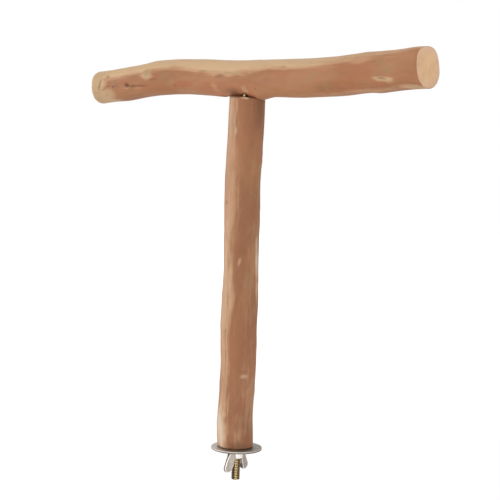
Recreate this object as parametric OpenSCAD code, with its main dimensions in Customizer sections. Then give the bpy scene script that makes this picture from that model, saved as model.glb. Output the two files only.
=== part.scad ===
// Clamp-on T perch: a natural branch carried crosswise on a branch post.
// A double-ended wood screw joins the two. A hanger bolt in the post's foot carries a wide washer
// and a wing nut, which clamp the perch to the bars of a cage.
// The origin is the centre of the stud where it leaves the post's foot, and +Z runs up the post.
// +X runs along the arm towards its raised end.

/* [Upright post] */
// Length of the post between its two sawn faces
post_length = 262.5; // [150:0.5:400]
// Mean diameter of the post
post_d = 27; // [22:0.1:36]
// How far the post's middle stands off the line of its stud, along X
post_bow = 2.4; // [0:0.1:5]
// How far the post's middle sways, along Y
post_sway = 1.8; // [0:0.1:4]
// Rounding that sanding leaves on the foot's sawn rim
post_foot_rim = 1.5; // [0.3:0.1:3]
// Rounding of the top's sawn rim
post_top_rim = 0.7; // [0.3:0.1:3]

/* [Perch arm] */
// Reach of the arm from the joint to its low end, along X
arm_low_reach = 138.5; // [80:0.5:200]
// Reach of the arm from the joint to its raised end, along X
arm_raised_reach = 156.2; // [80:0.1:200]
// Mean diameter of the arm
arm_d = 28; // [24:0.1:40]
// Height of the raised end's centre above the arm's centre at the joint
arm_rise = 15; // [0:0.5:30]
// Sway of the arm's ends, along Y
arm_sway = 3; // [0:0.1:8]
// Depth of the round seat cut into the arm's underside for the top of the post
seat_depth = 1.2; // [0.4:0.1:3]
// Side clearance between that seat and the top of the post
seat_clearance = 0.5; // [0.2:0.1:1.5]
// Rounding of the low end's worn rim
low_rim = 3.4; // [0.3:0.1:5]
// Rounding of the raised end's sawn rim
raised_rim = 0.8; // [0.3:0.1:3]
// Height of the splintered notch where the screw enters the arm
notch_height = 2.8; // [1:0.1:4]
// Radius of that notch's rounded roof
notch_r = 4.6; // [3:0.1:8]
// Turn of that notch about the screw, from the arm's front towards its raised end
notch_turn = 36; // [0:1:60]

/* [Joint screw] */
// Overall length of the double-ended wood screw
screw_length = 38.1; // [25:0.1:46]
// Outside diameter of the screw
screw_d = 6.35; // [4:0.05:8]
// Length of each tapered point
screw_point = 7; // [3:0.1:10]
// Diameter of the small flat at each point
screw_tip_d = 1; // [0.5:0.1:2]
// Offset of the screw from the stud's line, along X
screw_offset = -3.8; // [-5:0.1:5]

/* [Hanger bolt] */
// Outside diameter of the machine thread
stud_d = 6.35; // [5:0.05:8]
// Length of machine thread below the post's foot
stud_reach = 25.6; // [22:0.1:50]
// Length of wood thread inside the post
stud_hold = 26.2; // [15:0.1:50]
// Advance of the machine thread in one turn, which also sets the chamfer at its free end
thread_pitch = 1.27; // [0.8:0.01:1.5]

/* [Fender washer] */
// Outside diameter of the washer
washer_d = 38.1; // [28:0.1:50]
// Radial play of its hole round the stud
washer_play = 0.395; // [0.1:0.005:1]
// Thickness of the washer
washer_t = 1.65; // [1:0.05:3]
// Rounding of its edges, cut as a chamfer
washer_edge = 0.3; // [0.1:0.05:0.5]

/* [Wing nut] */
// Span over both wings
nut_span = 26.2; // [22:0.1:36]
// Height from the bearing face to the wing tips
nut_height = 16.9; // [14:0.1:22]
// Height of the hub
hub_height = 6.9; // [5:0.1:9]
// Wall of the hub round the stud at its bearing face
hub_base_wall = 2.3; // [1.5:0.1:4]
// Wall of the hub round the stud at its free end
hub_end_wall = 1.5; // [1:0.1:3]
// Chamfer on the hub's edges
hub_edge = 0.5; // [0.2:0.1:0.8]
// Thickness of each wing where it leaves the hub
wing_root_t = 5; // [2:0.1:6]
// Thickness of each wing at its tip
wing_tip_t = 2; // [1.6:0.1:3.5]
// Bevel round each wing
wing_bevel = 0.5; // [0.2:0.1:0.7]
// Width of a wing across its tip
wing_tip_w = 7.2; // [4:0.1:9]
// Turn of the wings about the stud in the clamped position
wing_angle = 86; // [0:1:180]

/* [Fits] */
// Radial clearance where a part turns or travels on a thread or shank
running_fit = 0.05; // [0.02:0.01:0.1]
// Radial clearance of the hanger bolt, which stays fixed in its pilot hole
holding_fit = 0.02; // [0.01:0.01:0.05]
// Depth left free beyond a screw's point
tip_room = 1; // [0.5:0.1:3]

/* [Hidden] */

// Faces round a branch, rings along it and steps round a rim
ring_sides = 32;
arm_rings = 50;
post_rings = 42;
rim_steps = 3;
// Facets of the small turned parts
turned_fn = 96;
blade_fn = 32;
// Overrun of every cut past the face that it opens
overrun = 2;

arm_length = arm_low_reach + arm_raised_reach;
joint_share = arm_low_reach / arm_length;
screw_half = screw_length / 2;
thread_depth_share = 0.61;
stud_chamfer = thread_pitch * thread_depth_share;
washer_hole_d = stud_d + 2 * washer_play;
hub_base_d = stud_d + 2 * hub_base_wall;
hub_end_d = stud_d + 2 * hub_end_wall;

// The arm's centre line: heights as shares of arm_rise, sideways places as shares of arm_sway,
// and its girth as shares of the mean radius, at even steps from the low end to the raised end
arm_rise_shares = [-0.88, -0.66, -0.365, -0.13, -0.07, -0.06, 0, 0.1, 0.205, 0.36, 0.615, 0.77, 1.015];
arm_sway_shares = [-0.9, -0.5, -0.1, 0.2, 0.3, 0.15, 0, -0.1, -0.1, 0.1, 0.4, 0.6, 0];
arm_girth_shares = [0.905, 0.92, 0.93, 0.975, 0.985, 0.995, 1, 1, 1.01, 1.03, 1.04, 1.055, 1.045];
// Lobes of the section: their count, height as a share of the radius, start angle and turns along the arm
arm_lobe_shares = [
    [2, 0.016, 70, 0.3],
    [3, 0.012, 200, -0.5],
    [4, 0.02, 180, 0],
    [5, 0.006, 20, 1.2],
    [1, 0.01, 120, 2.6]
];
// Knots: place along, angle round from +Y over the top, height, length along and spread round in degrees.
// A height below zero is a hollow.
arm_knot_shares = [
    [0, 250, 0.075, 0.018, 40],
    [0.08, 180, 0.03, 0.014, 20],
    [0.09, 262, 0.035, 0.025, 40],
    [0.125, 190, 0.03, 0.014, 18],
    [0.19, 160, 0.04, 0.018, 24],
    [0.2, 105, 0.055, 0.03, 40],
    [0.28, 210, 0.035, 0.018, 24],
    [0.42, 165, 0.02, 0.03, 26],
    [0.53, 258, 0.14, 0.019, 38],
    [0.56, 30, 0.045, 0.026, 34],
    [0.64, 262, 0.03, 0.06, 40],
    [0.76, 340, 0.035, 0.024, 30],
    [0.868, 262, 0.06, 0.02, 36],
    [0.9, 200, 0.03, 0.026, 24],
    [0.925, 262, -0.03, 0.022, 36],
    [1, 50, 0.06, 0.03, 26],
    [1, 132, 0.022, 0.05, 26],
    [1, 285, 0.045, 0.03, 45]
];

// The post, in the same way, from its foot to its top
post_bow_shares = [0.48, 1.06, 0.83, 0.93, 1.31, 1.29, 1.12, 1.12, 1, 1.02, 0.77, 0.33, 0.38];
post_sway_shares = [0, 0.2, 0.5, 0.8, 1, 1, 0.8, 0.5, 0.2, 0, -0.1, -0.1, 0];
post_girth_shares = [1.012, 1.006, 0.996, 1.006, 1.037, 1.04, 0.996, 0.997, 1.012, 1, 1, 1, 1];
post_lobe_shares = [[2, 0.012, 10, 0.4], [3, 0.01, 140, 0.8], [5, 0.005, 60, -1.4]];
// Knots: place along, angle round from +X towards +Y, height, length along and spread round in degrees
post_knot_shares = [
    [0.21, 330, 0.03, 0.024, 26],
    [0.34, 262, 0.02, 0.02, 22],
    [0.54, 302, 0.03, 0.026, 26],
    [0.7, 244, 0.02, 0.02, 22],
    [0.42, 80, 0.04, 0.03, 34],
    [0.83, 40, 0.03, 0.026, 30]
];

// A wing's outline: places of its round corners as shares of half the span and of the nut's height
wing_root_shares = [0.4, 0.215];
wing_shoulder_shares = [0.557, 0.46];
// Radii of the root and shoulder as shares of the tip's radius
wing_root_r_share = 0.86;
wing_shoulder_r_share = 0.945;

function sum(list) = list * [for (item = list) 1];
function unit(v) = v / norm(v);
function entry(list, i) = list[max(0, min(len(list) - 1, i))];

// Value of an evenly spaced table at share t of its length, on a smooth curve through its entries
function curve_at(table, t) =
    let (
        place = t * (len(table) - 1),
        i = max(0, min(floor(place), len(table) - 2)),
        f = place - i,
        a = entry(table, i - 1),
        b = entry(table, i),
        c = entry(table, i + 1),
        d = entry(table, i + 2)
    )
    b + f / 2 * (c - a + f * (2 * a - 5 * b + 4 * c - d + f * (3 * (b - c) + d - a)));

// Smallest turn between two angles
function turn_between(a, b) = abs((a - b + 540) % 360 - 180);

// A section's radius factor at share t along and angle a round: wandering lobes and swollen knots
function section_factor(lobe_shares, knot_shares, t, a) =
    1
    + sum([for (w = lobe_shares) w[1] * cos(w[0] * a + w[2] + 360 * w[3] * t)])
    + sum([for (k = knot_shares)
        k[2] * exp(-pow((t - k[0]) / k[3], 2) - pow(turn_between(a, k[1]) / k[4], 2))]);

// Places along a branch, each with how far a rounded rim draws its ring in
function stations(length, first_rim, last_rim, rings) = concat(
    [for (i = [0:rim_steps])
        let (a = 90 * i / rim_steps) [first_rim * (1 - cos(a)), first_rim * (1 - sin(a))]],
    [for (i = [1:rings - 1])
        [first_rim + (length - first_rim - last_rim) * i / rings, 0]],
    [for (i = [rim_steps:-1:0])
        let (a = 90 * i / rim_steps) [length - last_rim * (1 - cos(a)), last_rim * (1 - sin(a))]]
);

// Greatest height of a table of lobes, as a share of the radius
function crest(lobe_shares) = sum([for (w = lobe_shares) abs(w[1])]);

// The seat is centred on the joint screw and clears the post's top, which may stand off that axis
post_top_x = -post_bow * curve_at(post_bow_shares, 1);
post_top_r = post_d / 2 * curve_at(post_girth_shares, 1) * (1 + crest(post_lobe_shares));
seat_r = post_top_r + abs(post_top_x - screw_offset) + seat_clearance;

// A closed skin over rings that all have ring_sides points
module skin(rings) {
    count = len(rings);
    polyhedron(
        points = [for (ring = rings) each ring],
        faces = concat(
            [[for (k = [0:ring_sides - 1]) k]],
            [for (i = [0:count - 2], k = [0:ring_sides - 1])
                let (j = (k + 1) % ring_sides, low = i * ring_sides, high = low + ring_sides)
                each [[low + k, high + k, high + j], [low + k, high + j, low + j]]],
            [[for (k = [ring_sides - 1:-1:0]) (count - 1) * ring_sides + k]]
        ),
        convexity = 6
    );
}

// The arm's centre at share t, above its seat on the post
function arm_centre(t) = [
    screw_offset + arm_length * (t - joint_share),
    arm_sway * (curve_at(arm_sway_shares, t) - curve_at(arm_sway_shares, joint_share)),
    post_length - seat_depth + arm_d / 2 * curve_at(arm_girth_shares, joint_share)
        + arm_rise * (curve_at(arm_rise_shares, t) - curve_at(arm_rise_shares, joint_share))
];

// One ring of the arm, square to its centre line
function arm_ring(along, inset) =
    let (
        t = along / arm_length,
        step = 1 / arm_rings,
        ahead = unit(arm_centre(min(1, t + step)) - arm_centre(max(0, t - step))),
        side = unit(cross([0, 0, 1], ahead)),
        up = cross(ahead, side),
        r = arm_d / 2 * curve_at(arm_girth_shares, t)
    )
    [for (k = [0:ring_sides - 1])
        let (a = 360 * k / ring_sides,
            reach = r * section_factor(arm_lobe_shares, arm_knot_shares, t, a) - inset)
        arm_centre(t) + reach * (cos(a) * side + sin(a) * up)];

// One level ring of the post
function post_ring(along, inset) =
    let (
        t = along / post_length,
        r = post_d / 2 * curve_at(post_girth_shares, t)
    )
    [for (k = [0:ring_sides - 1])
        let (a = 360 * k / ring_sides,
            reach = r * section_factor(post_lobe_shares, post_knot_shares, t, a) - inset)
        [
            reach * cos(a) - post_bow * curve_at(post_bow_shares, t),
            reach * sin(a) + post_sway * curve_at(post_sway_shares, t),
            along
        ]];

// A straight shank up the Z axis with a tapered point at its top
module pointed_shank(r, length, point, tip_r) {
    cylinder(h = length - point, r = r, $fn = turned_fn);
    translate([0, 0, length - point])
        cylinder(h = point, r1 = r, r2 = tip_r, $fn = turned_fn);
}

// A blind pilot hole up the Z axis from a face at zero
module pilot_hole(r, depth) {
    translate([0, 0, -overrun])
        cylinder(h = depth + overrun, r = r, $fn = turned_fn);
}

module perch_arm() {
    color("peru")
    difference() {
        skin([for (s = stations(arm_length, low_rim, raised_rim, arm_rings)) arm_ring(s[0], s[1])]);
        // Round seat that turns on the top of the post
        translate([screw_offset, 0, post_length - arm_d / 2])
            cylinder(h = arm_d / 2, r = seat_r, $fn = turned_fn);
        // Hole that turns on the joint screw
        translate([screw_offset, 0, post_length])
            pilot_hole(screw_d / 2 + running_fit, screw_half + tip_room);
        // Splintered notch at the front of that hole
        translate([screw_offset, 0, post_length + notch_height - notch_r])
            rotate([90, 0, notch_turn])
                cylinder(h = arm_d, r = notch_r, $fn = turned_fn);
    }
}

module upright_post() {
    color("sienna")
    difference() {
        skin([for (s = stations(post_length, post_foot_rim, post_top_rim, post_rings)) post_ring(s[0], s[1])]);
        pilot_hole(stud_d / 2 + holding_fit, stud_hold + tip_room);
        translate([screw_offset, 0, post_length])
            mirror([0, 0, 1])
                pilot_hole(screw_d / 2 + running_fit, screw_half + tip_room);
    }
}

module joint_screw() {
    color("goldenrod")
    translate([screw_offset, 0, post_length]) {
        pointed_shank(screw_d / 2, screw_half, screw_point, screw_tip_d / 2);
        mirror([0, 0, 1])
            pointed_shank(screw_d / 2, screw_half, screw_point, screw_tip_d / 2);
    }
}

module hanger_bolt() {
    color("goldenrod") {
        pointed_shank(stud_d / 2, stud_hold, screw_point, screw_tip_d / 2);
        translate([0, 0, stud_chamfer - stud_reach])
            cylinder(h = stud_reach - stud_chamfer, d = stud_d, $fn = turned_fn);
        translate([0, 0, -stud_reach])
            cylinder(h = stud_chamfer, d1 = stud_d - 2 * stud_chamfer, d2 = stud_d, $fn = turned_fn);
    }
}

module fender_washer() {
    color("silver")
    rotate_extrude($fn = turned_fn)
        polygon([
            [washer_hole_d / 2, -washer_edge],
            [washer_hole_d / 2 + washer_edge, 0],
            [washer_d / 2 - washer_edge, 0],
            [washer_d / 2, -washer_edge],
            [washer_d / 2, washer_edge - washer_t],
            [washer_d / 2 - washer_edge, -washer_t],
            [washer_hole_d / 2 + washer_edge, -washer_t],
            [washer_hole_d / 2, washer_edge - washer_t]
        ]);
}

// One round corner of a wing: a disc with a bevelled rim, its axis along Y
module wing_corner(out, up, r, thickness) {
    translate([out, 0, up])
        rotate([90, 0, 0]) {
            cylinder(h = thickness - 2 * wing_bevel, r = r, center = true, $fn = blade_fn);
            cylinder(h = thickness, r = r - wing_bevel, center = true, $fn = blade_fn);
        }
}

// A wing on the +X side, its thickness along Y. It thins from the hub to the tip, as a casting does.
module wing() {
    half_span = nut_span / 2;
    tip_r = wing_tip_w / 2;
    hull() {
        wing_corner(
            half_span * wing_root_shares[0],
            nut_height * wing_root_shares[1],
            tip_r * wing_root_r_share,
            wing_root_t
        );
        wing_corner(
            half_span * wing_shoulder_shares[0],
            nut_height * wing_shoulder_shares[1],
            tip_r * wing_shoulder_r_share,
            (wing_root_t + wing_tip_t) / 2
        );
        wing_corner(half_span - tip_r, nut_height - tip_r, tip_r, wing_tip_t);
    }
}

// The hub stands on its bearing face at zero and tapers upwards
module hub() {
    rotate_extrude($fn = turned_fn)
        polygon([
            [0, 0],
            [hub_base_d / 2 - hub_edge, 0],
            [hub_base_d / 2, hub_edge],
            [hub_end_d / 2, hub_height - hub_edge],
            [hub_end_d / 2 - hub_edge, hub_height],
            [0, hub_height]
        ]);
}

module wing_nut() {
    color("gainsboro")
    translate([0, 0, -washer_t])
        mirror([0, 0, 1])
            rotate([0, 0, wing_angle])
                difference() {
                    union() {
                        hub();
                        wing();
                        mirror([1, 0, 0])
                            wing();
                    }
                    translate([0, 0, -overrun])
                        cylinder(h = nut_height + 2 * overrun, r = stud_d / 2 + running_fit, $fn = turned_fn);
                }
}

perch_arm();
upright_post();
joint_screw();
hanger_bolt();
fender_washer();
wing_nut();
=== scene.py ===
# %% [markdown]
# # A clamp-on perch made of two branches
# A natural branch is carried crosswise on the top of a second branch. A screw with two points joins them.
# A threaded stud in the foot carries a wide washer and a wing nut, which clamp the perch to the bars of a cage.
# The packed model is the fixed frame: it says where each piece is and which body it moves with.
# Blender adds what a plain solid lacks: wood that grew, cut faces, threads, and metal that was stamped and cast.

# %% Load the packed model
import math

import bpy
import numpy as np
from mathutils import Matrix, Vector


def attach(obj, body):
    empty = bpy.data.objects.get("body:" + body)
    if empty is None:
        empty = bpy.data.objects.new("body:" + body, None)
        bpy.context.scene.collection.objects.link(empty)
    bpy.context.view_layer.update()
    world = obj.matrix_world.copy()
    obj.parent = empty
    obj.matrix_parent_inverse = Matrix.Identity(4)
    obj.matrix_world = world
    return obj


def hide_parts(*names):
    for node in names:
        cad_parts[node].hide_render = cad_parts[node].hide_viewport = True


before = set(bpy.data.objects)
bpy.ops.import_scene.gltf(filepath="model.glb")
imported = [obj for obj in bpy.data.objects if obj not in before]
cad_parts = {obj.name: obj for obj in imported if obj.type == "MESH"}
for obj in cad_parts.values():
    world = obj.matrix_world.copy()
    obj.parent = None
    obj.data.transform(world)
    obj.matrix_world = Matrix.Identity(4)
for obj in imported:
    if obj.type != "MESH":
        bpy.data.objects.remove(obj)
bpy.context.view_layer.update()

MM = 0.001

# %% [markdown]
# ## The camera
# The photograph looks slightly down on the perch, from the front and a little to the right.
# Three facts fix such a camera: how many millimetres a pixel covers at the foot, the pixel where the foot's centre
# shows, and the three angles. The distance decides how fast things shrink with depth, and 1.4 m suits the washer's
# flat ellipse. The focal length then follows, and no lens shift is needed.

# %% Camera at the photograph's angle
bpy.context.scene.view_settings.view_transform = "Standard"
PICTURE, FOOT_PIXEL, PIXEL_MM, DISTANCE, SENSOR_MM = 500, (236.5, 446.4), 0.752, 1.4, 36
TURN, ROLL, LOOK_DOWN_AT_FOOT = math.radians(36.5), math.radians(2), math.radians(13.2)


def add_object(name, data):
    """A new object in the scene."""
    made = bpy.data.objects.new(name, data)
    bpy.context.scene.collection.objects.link(made)
    return made


focal_px = DISTANCE / (PIXEL_MM * MM)
pitch = LOOK_DOWN_AT_FOOT - math.atan((FOOT_PIXEL[1] - PICTURE / 2) / focal_px)
back = Vector((math.sin(TURN) * math.cos(pitch), -math.cos(TURN) * math.cos(pitch), math.sin(pitch)))
level_right = (-back).cross(Vector((0, 0, 1))).normalized()
level_up = level_right.cross(-back)
right = math.cos(ROLL) * level_right + math.sin(ROLL) * level_up
up = math.cos(ROLL) * level_up - math.sin(ROLL) * level_right
aside, below = ((pixel - PICTURE / 2) / focal_px * DISTANCE for pixel in FOOT_PIXEL)
lens_place = DISTANCE * back - aside * right + below * up

camera = add_object("camera", bpy.data.cameras.new("camera"))
camera.data.sensor_width = SENSOR_MM
camera.data.lens = focal_px / PICTURE * SENSOR_MM
camera.matrix_world = Matrix.Translation(lens_place) @ Matrix((right, up, back)).transposed().to_4x4()
bpy.context.scene.camera = camera
print("lens", round(camera.data.lens, 1), "mm, camera at", [round(v, 3) for v in lens_place])

# %% [markdown]
# ## Numbers as sockets
# A finish is a graph of small nodes. Written out node by node it is long and hard to read, so one small class wraps
# an output socket and lets sums and products of sockets be written as plain expressions.
# One method makes any other node, by its type, its settings and the values or links of its inputs.

# %% A socket that understands arithmetic
class Socket:
    """One output in a node tree. An expression such as 1 - 0.5 * mask adds its Math nodes."""

    def __init__(self, finish, link):
        self.finish, self.link = finish, link

    def maths(self, operation, *values):
        return self.finish.node("ShaderNodeMath", {"operation": operation}, dict(enumerate(values)))

    def __add__(self, other):
        return self.maths("ADD", self, other)

    def __mul__(self, other):
        return self.maths("MULTIPLY", self, other)

    def __sub__(self, other):
        return self.maths("SUBTRACT", self, other)

    def __rsub__(self, other):
        return self.maths("SUBTRACT", other, self)

    def __pow__(self, other):
        return self.maths("POWER", self, other)

    def sine(self):
        return self.maths("SINE", self)

    __radd__, __rmul__ = __add__, __mul__

    def ramp(self, low, high):
        """A soft step from 0, where the value is low or less, to 1, where it is high or more."""
        inputs = {"Value": self, "From Min": low, "From Max": high}
        return self.finish.node("ShaderNodeMapRange", {"interpolation_type": "SMOOTHSTEP"}, inputs)


print("a socket also knows", [name for name in vars(Socket) if not name.startswith("_")])

# %% A finish, which is one graph of nodes
class Finish:
    """The graph of a material or a world. node() adds any node, and other methods are short names for common ones."""

    def __init__(self, owner):
        owner.use_nodes = True
        self.owner, self.tree = owner, owner.node_tree
        self.tree.nodes.clear()

    def node(self, kind, settings=None, inputs=None, output=0):
        made = self.tree.nodes.new(kind)
        for key, value in (settings or {}).items():
            setattr(made, key, value)
        for key, value in (inputs or {}).items():
            if isinstance(value, Socket):
                self.tree.links.new(value.link, made.inputs[key])
            else:
                made.inputs[key].default_value = value
        return Socket(self, made.outputs[output])

    def attribute(self, name, output="Fac"):
        return self.node("ShaderNodeAttribute", {"attribute_name": name}, output=output)

    def stretched(self, vector, scale, place=(0, 0, 0)):
        return self.node("ShaderNodeMapping", None, {"Vector": vector, "Scale": scale, "Location": place})

    def noise(self, vector, scale, detail, roughness=0.5):
        inputs = {"Vector": vector, "Scale": scale, "Detail": detail, "Roughness": roughness}
        return self.node("ShaderNodeTexNoise", None, inputs)

    def coats(self, colour, *coats):
        """A colour with others laid over it in turn, each by its own share from 0 to 1."""
        for share, coat in coats:
            colour = self.node("ShaderNodeMix", {"data_type": "RGBA"}, {0: share, 6: colour, 7: coat}, output=2)
        return colour

    def dim(self, colour, factor):
        """A colour made lighter or darker by a varying factor."""
        return self.node("ShaderNodeVectorMath", {"operation": "SCALE"}, {"Vector": colour, "Scale": factor})

    def bump(self, height, depth_mm):
        return self.node("ShaderNodeBump", None, {"Height": height, "Distance": depth_mm * MM, "Strength": 1.0})

    def seen(self):
        """1 for rays from the camera, off a mirror or through glass, and 0 for light that only bounces."""
        direct, mirrored, through = (
            self.node("ShaderNodeLightPath", output=f"Is {ray} Ray") for ray in ("Camera", "Glossy", "Transmission"))
        return self.node("ShaderNodeMath", {"operation": "ADD", "use_clamp": True}, {0: direct + mirrored, 1: through})

    def principled(self, inputs):
        return self.surface(self.node("ShaderNodeBsdfPrincipled", None, inputs))

    def surface(self, shader, output="ShaderNodeOutputMaterial"):
        """Ends the graph with its output, and gives back the material or world that it belongs to."""
        out = self.tree.nodes.new(output)
        self.tree.links.new(shader.link, out.inputs["Surface"])
        return self.owner


def paint(red, green, blue):
    """A screen colour from 0 to 255 as the linear light that a shader needs.

    With c from 0 to 1 it is c / 12.92 below 0.04, and ((c + 0.055) / 1.055) ** 2.4 above that.
    """
    screen = np.array([red, green, blue]) / 255
    linear = np.where(screen <= 0.04045, screen / 12.92, ((screen + 0.055) / 1.055) ** 2.4)
    return (*linear.tolist(), 1.0)


print("white paint is", paint(255, 255, 255))

# %% [markdown]
# ## Floor, background and light
# The perch hangs on its clamp, so nothing of it rests on a floor. A plain pale floor lies well below it.
# A white background could be had by flooding the scene with light, but that would bleach the wood.
# Here the camera, mirrors and glass are shown white, and the lamps stay at a plain level.

# %% Plain pale floor
FLOOR_BELOW, FLOOR_HALF, BRIGHT_FROM, BRIGHT_TO = 0.34, 4.0, 1.2, 3.5


def pale_floor():
    """A plain floor that glows white to the camera, more so far from the perch, and casts no light of its own."""
    finish = Finish(bpy.data.materials.new("pale_floor"))
    place = finish.node("ShaderNodeTexCoord", output="Object")
    away = finish.node("ShaderNodeVectorMath", {"operation": "LENGTH"}, {0: place}, output="Value")
    lit = finish.node("ShaderNodeBsdfDiffuse", None, {"Color": paint(230, 229, 228)})
    strength = finish.seen() * (0.5 + 0.5 * away.ramp(BRIGHT_FROM, BRIGHT_TO))
    white = finish.node("ShaderNodeEmission", None, {"Color": paint(255, 255, 255), "Strength": strength})
    return finish.surface(finish.node("ShaderNodeAddShader", None, {0: lit, 1: white}))


floor = add_object("floor", bpy.data.meshes.new("floor"))
corners = [(x * FLOOR_HALF, y * FLOOR_HALF, -FLOOR_BELOW) for x, y in ((-1, -1), (1, -1), (1, 1), (-1, 1))]
floor.data.from_pydata(corners, [], [(0, 1, 2, 3)])
floor.data.materials.append(pale_floor())
print("floor at", -FLOOR_BELOW, "m")

# %% White background
WORLD_LIGHT = 0.52

world = bpy.data.worlds.new("studio")
bpy.context.scene.world = world
sky = Finish(world)
room = sky.node("ShaderNodeBackground", None, {"Color": paint(250, 250, 252), "Strength": WORLD_LIGHT})
paper = sky.node("ShaderNodeBackground", None, {"Color": paint(255, 255, 255), "Strength": 1.0})
sky.surface(sky.node("ShaderNodeMixShader", None, {0: sky.seen(), 1: room, 2: paper}), "ShaderNodeOutputWorld")
print("world light:", WORLD_LIGHT)

# %% Soft lamps
def softbox(name, place, size, watts, aim=(0, 0, 0.16)):
    """A square lamp that faces the perch."""
    lamp = add_object(name, bpy.data.lights.new(name, "AREA"))
    lamp.data.size, lamp.data.energy = size, watts
    lamp.location = place
    lamp.rotation_mode = "QUATERNION"
    lamp.rotation_quaternion = (Vector(aim) - Vector(place)).to_track_quat("-Z", "Y")


softbox("left_box", (-1.4, -0.95, 0.5), 1.6, 18)
softbox("top_box", (0.1, -0.35, 1.55), 1.1, 3.8)
softbox("right_box", (1.6, -0.6, 0.45), 0.5, 6)
softbox("low_box", (0.4, -0.7, -0.3), 0.5, 2.0, aim=(0, 0, 0.26))

# %% [markdown]
# ## Meshes from arrays
# Every new piece is a surface whose points are worked out all at once with numpy.
# Most are a grid that closes round, with rows along the piece and columns round it.
# Whichever way the grid runs, the mesh should face outwards. Its signed volume tells: it is the sum over triangles
# of a · (b × c) / 6, and a negative sum means that the faces look inwards and are turned over.

# %% From a grid of points to a mesh
def volume_inside(points, faces):
    """The signed volume within faces of three or four corners, where a quad counts as two triangles."""
    a, b, c = (points[faces[:, k]] for k in (0, 1, 2))
    volume = np.einsum("ij,ij->", a, np.cross(b, c))
    if faces.shape[1] == 4:
        volume += np.einsum("ij,ij->", a, np.cross(c, points[faces[:, 3]]))
    return volume / 6


def make_piece(name, points, *groups):
    """A mesh object from points in millimetres and groups of faces with three or four corners each."""
    if sum(volume_inside(points, group) for group in groups) < 0:
        groups = [group[:, ::-1] for group in groups]
    mesh = bpy.data.meshes.new(name)
    sizes = np.concatenate([np.full(len(group), group.shape[1]) for group in groups])
    corners = np.concatenate([group.ravel() for group in groups])
    mesh.vertices.add(len(points))
    mesh.vertices.foreach_set("co", (points * MM).astype(np.float32).ravel())
    mesh.loops.add(len(corners))
    mesh.loops.foreach_set("vertex_index", corners.astype(np.int32))
    mesh.polygons.add(len(sizes))
    mesh.polygons.foreach_set("loop_start", (np.cumsum(sizes) - sizes).astype(np.int32))
    mesh.update(calc_edges=True)
    mesh.validate()
    return add_object(name, mesh)


def capped_tube(name, points):
    """A skin over rows of points that close round. The first and last rows are single points, repeated."""
    rows, columns = points.shape[:2]
    inner = 1 + np.arange((rows - 2) * columns).reshape(rows - 2, columns)
    after = np.roll(inner, -1, axis=1)
    quads = np.stack([inner[:-1], inner[1:], after[1:], after[:-1]], -1).reshape(-1, 4)
    last = inner[-1, -1] + 1
    first_fan = np.stack([np.zeros(columns, int), inner[0], after[0]], -1)
    last_fan = np.stack([after[-1], inner[-1], np.full(columns, last)], -1)
    flat = np.concatenate([points[:1, 0], points[1:-1].reshape(-1, 3), points[-1:, 0]])
    return make_piece(name, flat, quads, np.concatenate([first_fan, last_fan]))


def ring_skin(name, points):
    """A skin over a grid that closes round in both directions, such as a washer's."""
    rows, columns = points.shape[:2]
    index = np.arange(rows * columns).reshape(rows, columns)
    below_row, beside = np.roll(index, -1, axis=0), np.roll(index, -1, axis=1)
    quads = np.stack([index, below_row, np.roll(below_row, -1, axis=1), beside], -1).reshape(-1, 4)
    return make_piece(name, points.reshape(-1, 3), quads)


UNIT_CORNER = np.array([(0, 0, 0), (1, 0, 0), (0, 1, 0), (0, 0, 1)])
UNIT_FACES = np.array([(0, 2, 1), (0, 1, 3), (0, 3, 2), (1, 2, 3)])
print("volume of a unit corner:", round(volume_inside(UNIT_CORNER, UNIT_FACES), 3))

# %% [markdown]
# Holes, seats and notches are cut with Booleans, as a drill or a chisel would, and the cut is applied at once,
# so that the mesh itself holds the cut shape. Smooth shading then stops at edges sharper than an angle.

# %% Cutting and smoothing
def cut(piece, *tools):
    """The piece without the space of the tools, applied to its mesh. The tools are used up."""
    for tool in tools:
        step = piece.modifiers.new("cut", "BOOLEAN")
        step.operation, step.solver, step.object = "DIFFERENCE", "EXACT", tool
    bpy.context.view_layer.update()
    shaped = bpy.data.meshes.new_from_object(piece.evaluated_get(bpy.context.evaluated_depsgraph_get()))
    piece.modifiers.clear()
    old, piece.data = piece.data, shaped
    shaped.name = piece.name
    bpy.data.meshes.remove(old)
    for tool in tools:
        bpy.data.objects.remove(tool)
    return piece


def smooth(piece, degrees=35):
    """Smooth shading, except across edges that turn by more than the angle."""
    piece.data.shade_smooth()
    piece.data.set_sharp_from_angle(angle=math.radians(degrees))
    return piece


def vertices_mm(piece):
    """The points of a piece's mesh, in millimetres."""
    points = np.empty(len(piece.data.vertices) * 3, np.float32)
    piece.data.vertices.foreach_get("co", points)
    return points.reshape(-1, 3).astype(float) / MM


def put_attribute(piece, name, values):
    """Stores a number or a vector on each vertex, for the finishes to read."""
    kind, key = ("FLOAT_VECTOR", "vector") if values.ndim == 2 else ("FLOAT", "value")
    layer = piece.data.attributes.new(name, kind, "POINT")
    layer.data.foreach_set(key, values.astype(np.float32).ravel())


print("mesh tools are ready")

# %% [markdown]
# ## How a branch grows
# A branch isn't a cylinder. Its centre line wanders, its girth swells and thins, its section has soft lobes,
# and knots stand up where twigs left it. The same few tables that the solid uses say all this, and a smooth curve
# through their entries gives the value anywhere along the branch.

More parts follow.
